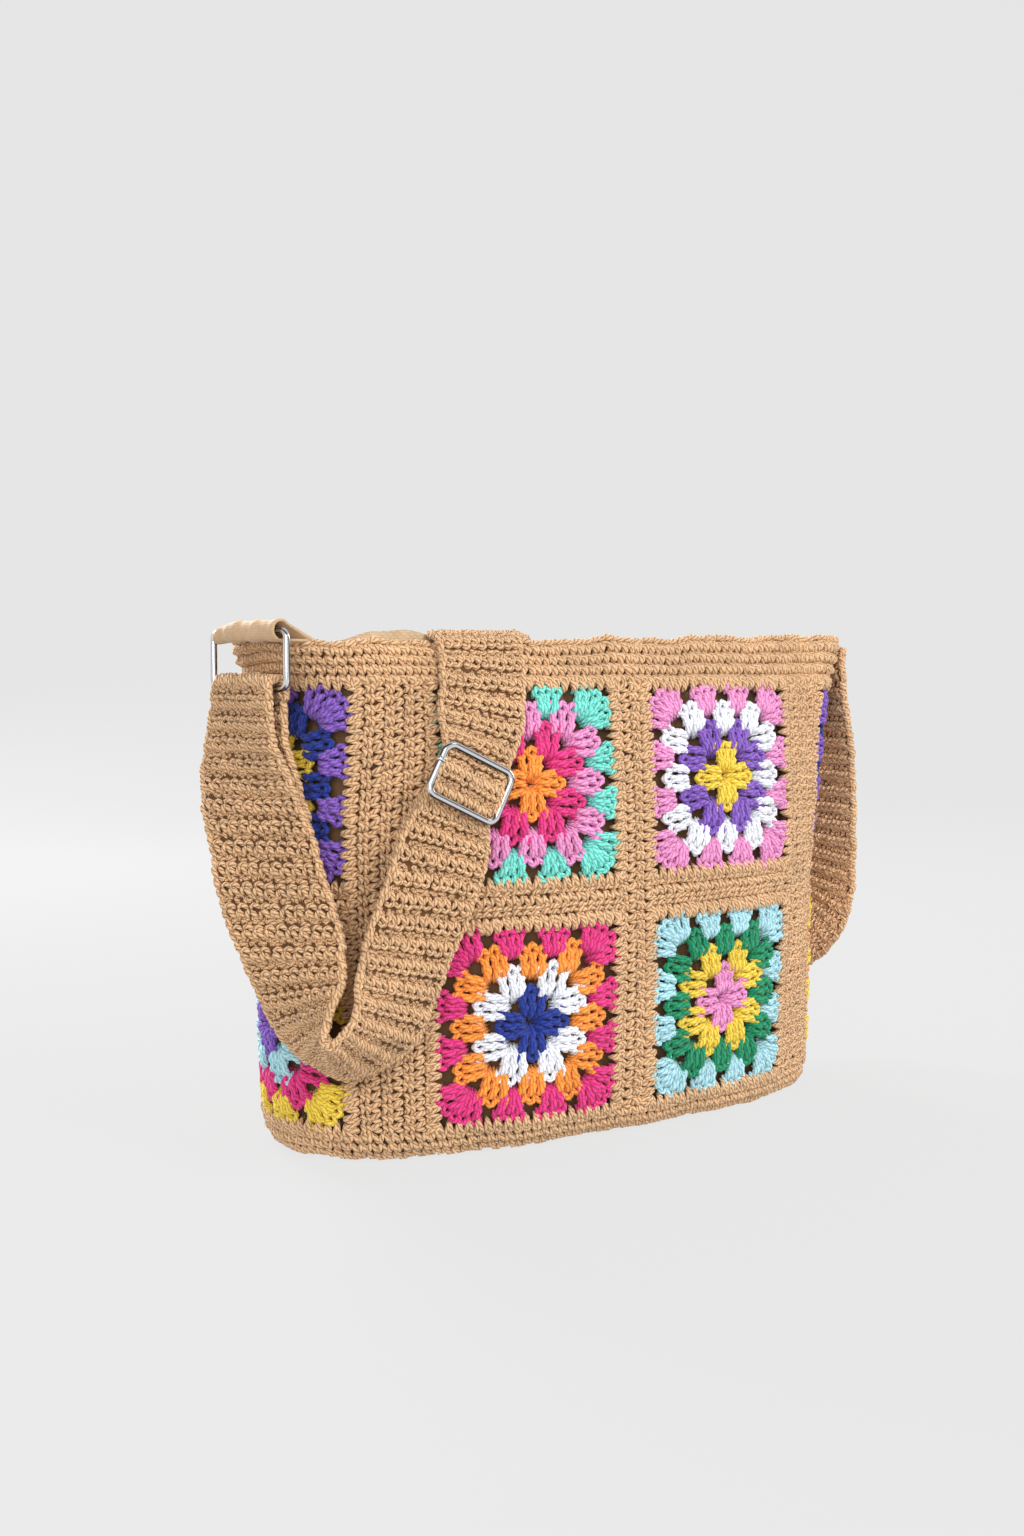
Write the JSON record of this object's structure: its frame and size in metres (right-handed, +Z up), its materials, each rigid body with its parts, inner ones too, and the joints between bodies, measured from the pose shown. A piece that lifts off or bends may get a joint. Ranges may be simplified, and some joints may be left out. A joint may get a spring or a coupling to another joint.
{
  "type": "crocheted crossbody bag",
  "caption": "Soft box-shaped crossbody bag of crocheted granny squares set in plain tan strips, open at the top, with a wide crocheted strap, wire ring and slide buckle.",
  "frame": {"origin": "middle of the base's underside, on the floor", "axes": "+X along the front to the viewer's right, +Y from the front to the back, +Z up"},
  "size_m": [0.3882, 0.1577, 0.2435],
  "materials": {
    "crochet_tan": "matte",
    "yarn_turquoise": "matte",
    "yarn_pink": "matte",
    "yarn_magenta": "matte",
    "yarn_light_blue": "matte",
    "yarn_purple": "matte",
    "yarn_yellow": "matte",
    "lining_cotton": "matte",
    "tab_cotton": "matte",
    "chrome_wire": "polished"
  },
  "bodies": {
    "root": {"base": "crochet_tan", "square_left_lower": "yarn_yellow", "square_left_upper": "yarn_purple", "square_front_left_lower": "yarn_magenta", "square_front_left_upper": "yarn_turquoise", "square_front_right_lower": "yarn_light_blue", "square_front_right_upper": "yarn_pink", "square_right_lower": "yarn_yellow", "square_right_upper": "yarn_purple", "square_back_right_lower": "yarn_magenta", "square_back_right_upper": "yarn_turquoise", "square_back_left_lower": "yarn_light_blue", "square_back_left_upper": "yarn_pink", "upright_strip_after_left": "crochet_tan", "tier_strip_left": "crochet_tan", "upright_strip_after_front_left": "crochet_tan", "tier_strip_front_left": "crochet_tan", "upright_strip_after_front_right": "crochet_tan", "tier_strip_front_right": "crochet_tan", "upright_strip_after_right": "crochet_tan", "tier_strip_right": "crochet_tan", "upright_strip_after_back_right": "crochet_tan", "tier_strip_back_right": "crochet_tan", "upright_strip_after_back_left": "crochet_tan", "tier_strip_back_left": "crochet_tan", "rim_band": "crochet_tan", "strap_right": "crochet_tan", "strap_back": "crochet_tan", "strap_over": "crochet_tan", "strap_front": "crochet_tan", "strap_left": "crochet_tan", "tail_front": "crochet_tan", "tail_left": "crochet_tan", "lining": "lining_cotton", "ring_tab": "tab_cotton", "ring": "chrome_wire", "slide_frame": "chrome_wire", "slide_bar": "chrome_wire"}
  },
  "joints": []
}
